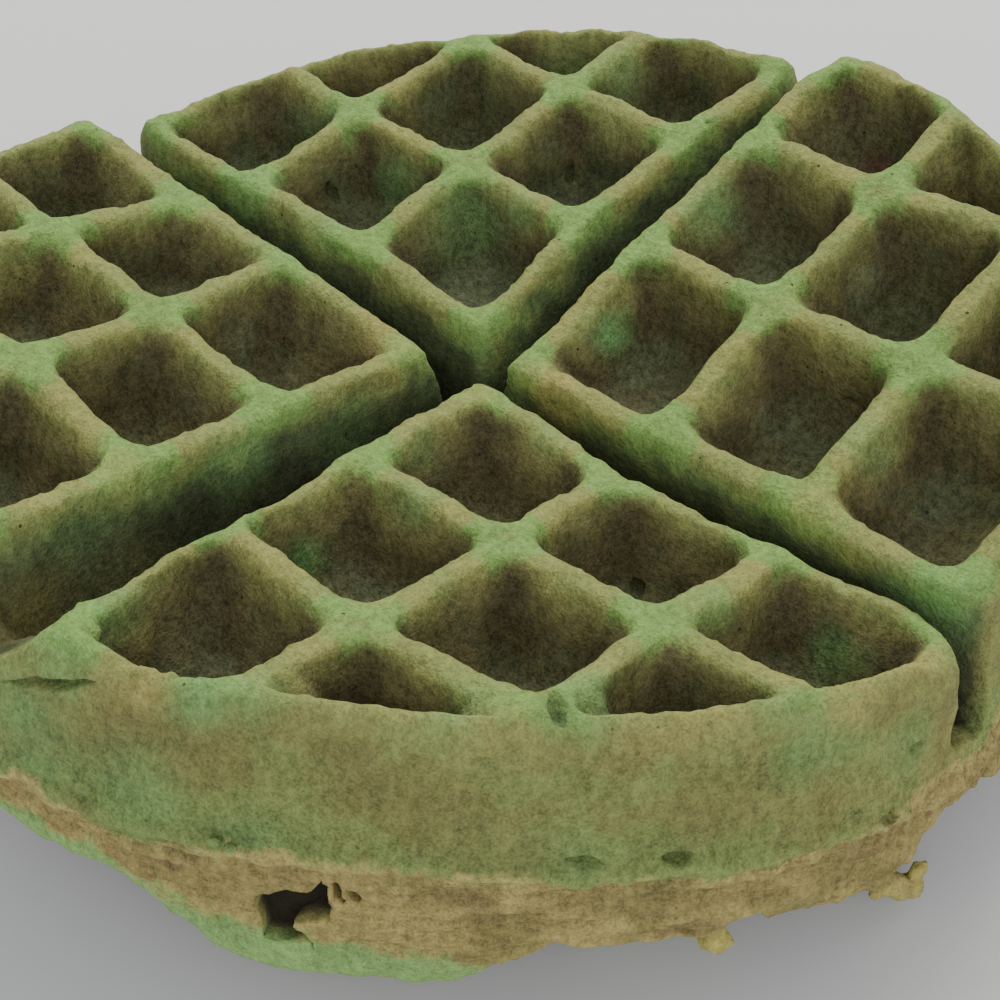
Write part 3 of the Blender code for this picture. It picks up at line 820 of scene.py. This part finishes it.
def mixColor(tree, share, first, second, blend="MIX"):
    return addNode(
        tree, "ShaderNodeMix", {0: share, 6: first, 7: second}, data_type="RGBA", blend_type=blend).outputs[2]


def math2(tree, operation, first, second):
    return addNode(tree, "ShaderNodeMath", {0: first, 1: second}, operation=operation).outputs[0]


def spread(tree, value, low, high, newLow=0.0, newHigh=1.0, smooth=True):
    node = addNode(
        tree, "ShaderNodeMapRange", {"Value": value, "From Min": low, "From Max": high,
                                     "To Min": newLow, "To Max": newHigh},
        interpolation_type="SMOOTHSTEP" if smooth else "LINEAR")
    return node.outputs["Result"]


def cloud(tree, place, scale, detail, roughness=0.6):
    return addNode(tree, "ShaderNodeTexNoise", {
        "Vector": place, "Scale": scale, "Detail": detail, "Roughness": roughness}).outputs["Fac"]


def vectorMath(tree, operation, first, second):
    return addNode(tree, "ShaderNodeVectorMath", {0: first, 1: second}, operation=operation).outputs[0]


def newGroup(name, inputs, outputs):
    group = bpy.data.node_groups.new(name, "ShaderNodeTree")
    for label, value in inputs.items():
        kind = "NodeSocketVector" if isinstance(value, tuple) else "NodeSocketFloat"
        socket = group.interface.new_socket(name=label, in_out="INPUT", socket_type=kind)
        socket.default_value = value
    for label in outputs:
        group.interface.new_socket(name=label, in_out="OUTPUT", socket_type="NodeSocketFloat")
    start = group.nodes.new("NodeGroupInput")
    end = group.nodes.new("NodeGroupOutput")
    return group, start.outputs, end.inputs


def makeBlotchGroup():
    # soft blotches: how much of a colour shows at each place; Stretch draws them out along one axis
    group, given, result = newGroup(
        "blotches", {"Size": 0.01, "Low": 0.4, "High": 0.6, "Shift": (0.0, 0.0, 0.0), "Stretch": (1.0, 1.0, 1.0)},
        ["Mask"])
    place = addNode(group, "ShaderNodeTexCoord").outputs["Object"]
    drawn = vectorMath(group, "MULTIPLY", vectorMath(group, "ADD", place, given["Shift"]), given["Stretch"])
    amount = cloud(group, drawn, math2(group, "DIVIDE", 1.0, given["Size"]), 3.0)
    group.links.new(spread(group, amount, given["Low"], given["High"]), result["Mask"])
    return group


def makeGrainGroup():
    # baked felt-like grain: fine grains, crumbly bumps, short fibres and small dark pores
    group, given, result = newGroup(
        "bakedGrain", {"Size": 0.00032, "Pore Size": 0.0026, "Pore Share": 0.05},
        ["Height", "Speck", "Crumb", "Pores"])
    place = addNode(group, "ShaderNodeTexCoord").outputs["Object"]
    scale = math2(group, "DIVIDE", 1.0, given["Size"])
    fine = cloud(group, place, scale, 2.0)
    crumb = cloud(group, place, math2(group, "DIVIDE", scale, 3.0), 3.0)
    cells = addNode(group, "ShaderNodeTexVoronoi", {
        "Vector": place, "Scale": math2(group, "DIVIDE", 1.0, given["Pore Size"]), "Randomness": 1.0})
    edge = math2(group, "MULTIPLY", given["Pore Share"], 1.9)
    pores = spread(group, cells.outputs["Distance"], given["Pore Share"], edge, 1.0, 0.0)
    few = spread(group, addNode(group, "ShaderNodeSeparateColor", {"Color": cells.outputs["Color"]}).outputs[0],
                 0.80, 0.82)
    pore = math2(group, "MULTIPLY", pores, few)
    height = math2(group, "ADD", math2(group, "MULTIPLY", fine, 0.55),
                   math2(group, "MULTIPLY", crumb, 1.3))
    height = math2(group, "SUBTRACT", height, math2(group, "MULTIPLY", pore, 0.7))
    group.links.new(height, result["Height"])
    group.links.new(spread(group, fine, 0.36, 0.64), result["Speck"])
    group.links.new(spread(group, crumb, 0.34, 0.66), result["Crumb"])
    group.links.new(pore, result["Pores"])
    return group


finish = {
    "leaf": (0.185, 0.305, 0.078, 1),        # green of the crossings
    "crest": (0.220, 0.250, 0.076, 1),       # olive yellow along the ridges
    "mint": (0.165, 0.330, 0.105, 1),
    "olive": (0.215, 0.212, 0.069, 1),       # outer wall
    "wallGreen": (0.215, 0.290, 0.088, 1),
    "tan": (0.310, 0.265, 0.082, 1),         # toasted edges
    "toast": (0.185, 0.172, 0.060, 1),       # upper walls of the pockets
    "slope": (0.160, 0.185, 0.062, 1),       # below a crossing
    "brown": (0.176, 0.147, 0.062, 1),       # pocket walls, browned by the posts
    # umber: random darker patches on the pocket walls, and painted shade in their upright corners
    "umber": (0.118, 0.096, 0.043, 1),
    # moss stands partly for painted shade deep in the grooves and lower on the pocket walls
    "moss": (0.088, 0.115, 0.049, 1),
    "mossLight": (0.130, 0.172, 0.068, 1),   # the same green lighter, nearer to the crest: a painted-light copy of moss
    # painted shade deep in the grooves
    "grooveDeepShade": (0.058, 0.064, 0.030, 1),
    "ash": (0.215, 0.250, 0.125, 1),         # grey-green pocket floors
    "bandPaleAndHighlight": (0.440, 0.372, 0.135, 1),    # tan band under the seam: its upper edge with a painted highlight along the seam's lip, then middle, foot and layers
    "band": (0.345, 0.270, 0.098, 1),
    "bandFoot": (0.375, 0.310, 0.105, 1),
    "bandBrown": (0.230, 0.155, 0.066, 1),
    "drip": (0.470, 0.420, 0.110, 1),
    "lowGreen": (0.235, 0.385, 0.122, 1),    # lower ridge
    # dark green painted shade for the dents
    "dentShade": (0.095, 0.165, 0.058, 1),
    "red": (0.150, 0.060, 0.045, 1),
    "inside": (0.034, 0.029, 0.017, 1),      # painted shade inside the torn hole
    # painted shade in the small pores
    "pore": (0.030, 0.027, 0.012, 1),
    "roughness": 0.85,
    "specular": 0.22,
}


def makeCrustFinish(blotches, grain):
    material = bpy.data.materials.new("pandanCrust")
    material.use_nodes = True
    tree = material.node_tree
    shader = tree.nodes["Principled BSDF"]

    def mask(name):
        return addNode(tree, "ShaderNodeAttribute", attribute_name=name).outputs["Fac"]

    def blotch(size, low, high, shift, stretch=(1, 1, 1)):
        return addNode(tree, "ShaderNodeGroup", {
            "Size": size, "Low": low, "High": high, "Shift": shift, "Stretch": stretch},
            node_tree=blotches).outputs["Mask"]

    def chain(operation, total, *values):
        for value in values:
            total = math2(tree, operation, total, value)
        return total

    def times(*values):
        return chain("MULTIPLY", *values)

    def plus(*values):
        return chain("ADD", *values)

    def fit(*values):
        return spread(tree, *values)

    def without(value):
        return math2(tree, "SUBTRACT", 1.0, value)

    def paint(color, share, name):
        return mixColor(tree, share, color, finish[name])

    def sway(noiseMask, reach):
        return spread(tree, noiseMask, 0.0, 1.0, -reach, reach, smooth=False)

    fine = addNode(tree, "ShaderNodeGroup", node_tree=grain)
    wall, channel, depth, span = (mask(name) for name in ("wall", "channel", "depth", "span"))
    inside = without(wall)
    large = blotch(0.019, 0.34, 0.66, (0.0, 0.0, 0.0))
    middling = blotch(0.0065, 0.34, 0.66, (0.3, 0.1, 0.0))
    small = blotch(0.0019, 0.34, 0.66, (0.1, 0.5, 0.2))
    patches = blotch(0.0105, 0.36, 0.64, (0.7, 0.3, 0.9))
    streaks = blotch(0.0011, 0.30, 0.70, (0.4, 0.2, 0.6), (1, 1, 0.22))

    # ridges: green at the crossings, olive yellow between them
    leafShare = fit(plus(span, sway(large, 0.22), sway(middling, 0.18)), 0.70, 0.10)
    color = paint(finish["crest"], leafShare, "leaf")
    color = paint(color, times(fit(patches, 0.50, 1.0), without(leafShare), 0.4), "tan")
    slope = paint(finish["toast"], times(leafShare, 0.4), "slope")
    # moss spots: the lighter copy higher up, the darker one lower down, as painted light and shade
    slope = paint(slope, times(mask("mossMark"), 0.85), "mossLight")
    # pockets turn brown below the crest, and green in a few spots
    walls = paint(finish["brown"], fit(large, 0.0, 1.0, 0.0, 0.6), "umber")
    walls = paint(walls, times(fit(middling, 0.35, 1.0), 0.45), "moss")
    walls = paint(walls, mask("mossMark"), "moss")
    # painted shade in the pockets' upright corners: umber on the walls, toast near the crest, and more browning
    cornerShade = mask("cornerShade")
    walls = paint(walls, times(cornerShade, 0.75), "umber")
    shift = plus(sway(middling, 0.20), sway(large, 0.12), times(mask("brownMark"), 0.32),
                 times(cornerShade, 0.55), -0.08)
    color = paint(color, times(cornerShade, 0.75), "toast")
    toasted = fit(plus(mask("toasted"), shift), 0.0, 1.0)
    browned = fit(plus(mask("browned"), shift), 0.0, 1.0)
    color = mixColor(tree, toasted, color, slope)
    color = mixColor(tree, browned, color, walls)
    # grooves: green above, darker moss lower down, and a dark deep green at the bottom: painted shade deepening
    # toward the groove floor
    groove = paint(finish["crest"], middling, "leaf")
    groove = paint(groove, fit(plus(depth, sway(middling, 1.2), sway(large, 1.6)), 0.6, 5.5), "moss")
    groove = paint(groove, fit(plus(depth, sway(middling, 1.5)), 4.5, 10.0, 0.0, 0.95), "grooveDeepShade")
    groove = paint(groove, mask("grooveFloorMark"), "toast")
    color = mixColor(tree, times(channel, fit(depth, 0.6, 3.0)), color, groove)
    # grey-green floors
    floor = times(fit(depth, 8.4, 12.8), fit(middling, 0.0, 1.0, 0.45, 1.0), without(channel), 0.75)
    floor = math2(tree, "MAXIMUM", floor, times(mask("ashMark"), fit(small, 0.0, 1.0, 0.3, 1.0), 0.85))
    color = paint(color, times(floor, inside), "ash")

    # outer wall
    height = plus(mask("belowSeam"), sway(large, 2.2), sway(middling, 1.4))
    outer = paint(finish["olive"], fit(height, -8.5, -2.5, 0.0, 0.75), "wallGreen")
    outer = paint(outer, times(middling, 0.35), "crest")
    outer = paint(outer, times(fit(patches, 0.45, 1.0), 0.45), "wallGreen")
    outer = paint(outer, times(fit(patches, 0.50, 0.0), fit(middling, 0.0, 0.8, 0.4, 1.0), 0.55), "toast")
    color = mixColor(tree, times(wall, fit(depth, 0.0, 2.0)), color, outer)
    color = paint(color, times(mask("brownMark"), wall, 0.6), "toast")
    color = paint(color, times(mask("mintMark"), fit(middling, 0.0, 1.0, 0.65, 1.0)), "mint")
    color = paint(color, times(mask("tanMark"), fit(small, 0.0, 1.0, 0.6, 1.0)), "tan")

    # band under the seam, and the green lower ridge
    wrap = addNode(tree, "ShaderNodeAttribute", attribute_name="wrap").outputs["Vector"]
    drawn = vectorMath(tree, "MULTIPLY", wrap, (150.0, 150.0, 850.0))
    layers = fit(cloud(tree, drawn, 1.0, 3.0, 0.65), 0.36, 0.64)
    belowSeam = plus(mask("belowSeam"), sway(small, 0.5), sway(middling, 0.7))
    # painted highlight along the band's upper edge, under the seam's lip; later pale patches are the crust's own
    # tone
    band = paint(finish["bandPaleAndHighlight"], fit(belowSeam, 0.3, 2.2), "band")
    band = paint(band, fit(plus(belowSeam, sway(middling, 1.5)), 3.5, 8.0, 0.0, 0.8), "bandFoot")
    band = paint(band, times(fit(layers, 0.45, 0.0), fit(large, 0.2, 0.8, 0.3, 0.8)), "bandBrown")
    band = paint(band, times(fit(middling, 0.6, 1.0), 0.4), "bandPaleAndHighlight")
    band = paint(band, times(fit(patches, 0.55, 1.0), 0.45), "toast")
    band = paint(band, times(mask("brownMark"), 0.5), "brown")
    color = mixColor(tree, times(fit(belowSeam, -0.8, 0.7), wall), color, band)
    lowShare = fit(plus(mask("belowBand"), sway(middling, 1.0), sway(small, 0.5)), -1.0, 1.6)
    color = paint(color, times(lowShare, wall), "lowGreen")
    color = paint(color, mask("dripMark"), "drip")
    # painted shade in the dents
    color = paint(color, mask("dentShadeMark"), "dentShade")
    color = paint(color, mask("redMark"), "red")

    # painted highlight and shade on the relief: raised grain and bulges are paler, hollows darker; streaks add
    # random tone
    reliefShading = plus(1.0, sway(fine.outputs["Speck"], 0.17), sway(fine.outputs["Crumb"], 0.15), sway(streaks, 0.12),
                   times(mask("bulgeShading"), 0.26))
    color = mixColor(tree, 1.0, color, addNode(
        tree, "ShaderNodeCombineColor", {0: reliefShading, 1: reliefShading, 2: reliefShading}).outputs[0], "MULTIPLY")
    # painted shade in the small pores, fainter on the outer wall
    color = paint(color, times(fine.outputs["Pores"], fit(wall, 0.0, 1.0, 0.8, 0.2)), "pore")
    # painted shade: the inside of the torn hole is darkened
    color = paint(color, mask("torn"), "inside")
    tree.links.new(color, shader.inputs["Base Color"])
    bump = addNode(tree, "ShaderNodeBump", {
        "Height": fine.outputs["Height"], "Distance": 0.00032, "Strength": 1.0})
    tree.links.new(bump.outputs["Normal"], shader.inputs["Normal"])
    shader.inputs["Roughness"].default_value = finish["roughness"]
    shader.inputs["Specular IOR Level"].default_value = finish["specular"]
    print("finish", len(tree.nodes), "nodes")
    return material


waffle = makeWaffle()
waffle.data.materials.clear()
waffle.data.materials.append(makeCrustFinish(makeBlotchGroup(), makeGrainGroup()))
activate(waffle)
bpy.ops.object.shade_smooth()
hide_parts("waffle")
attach(waffle, "root")


# camera, floor and light

studio = {
    "cameraPlace": (0.144918, -0.137261, 0.186298),
    "cameraTurn": (48.678, 2.034, 43.718),      # degrees
    "lens": 66.569,
    "sensor": 36,
    "floorSize": 4.0,
    "floorColor": (0.80, 0.79, 0.78, 1),
    "floorRoughness": 0.8,
    "skyColor": (0.93, 0.95, 1.0, 1),
    "skyStrength": 0.55,
    "lamps": [   # place, size, watts, colour
        ((-0.5, 0.7, 1.0), 0.8, 16, (1.0, 0.97, 0.92)),
        ((0.8, -0.6, 0.7), 0.9, 5, (0.93, 0.96, 1.0)),
    ],
}


def makeStudio():
    clearSelection()
    bpy.ops.mesh.primitive_plane_add(size=studio["floorSize"])
    floor = nameNew("paleFloor")
    paper = bpy.data.materials.new("palePaper")
    paper.use_nodes = True
    shader = paper.node_tree.nodes["Principled BSDF"]
    shader.inputs["Base Color"].default_value = studio["floorColor"]
    shader.inputs["Roughness"].default_value = studio["floorRoughness"]
    floor.data.materials.append(paper)
    world = bpy.data.worlds.new("softSky")
    world.use_nodes = True
    sky = world.node_tree.nodes["Background"]
    sky.inputs["Color"].default_value = studio["skyColor"]
    sky.inputs["Strength"].default_value = studio["skyStrength"]
    bpy.context.scene.world = world
    for number, (place, size, watts, color) in enumerate(studio["lamps"]):
        lamp = bpy.data.lights.new(f"softLamp{number}", "AREA")
        lamp.energy = watts
        lamp.size = size
        lamp.color = color
        thing = bpy.data.objects.new(lamp.name, lamp)
        thing.location = place
        thing.rotation_euler = Vector(place).to_track_quat("Z", "Y").to_euler()
        bpy.context.scene.collection.objects.link(thing)
    lens = bpy.data.cameras.new("photoCamera")
    lens.lens = studio["lens"]
    lens.sensor_width = studio["sensor"]
    camera = bpy.data.objects.new("photoCamera", lens)
    camera.location = studio["cameraPlace"]
    camera.rotation_euler = [math.radians(angle) for angle in studio["cameraTurn"]]
    bpy.context.scene.collection.objects.link(camera)
    bpy.context.scene.camera = camera
    print("studio ready")


makeStudio()
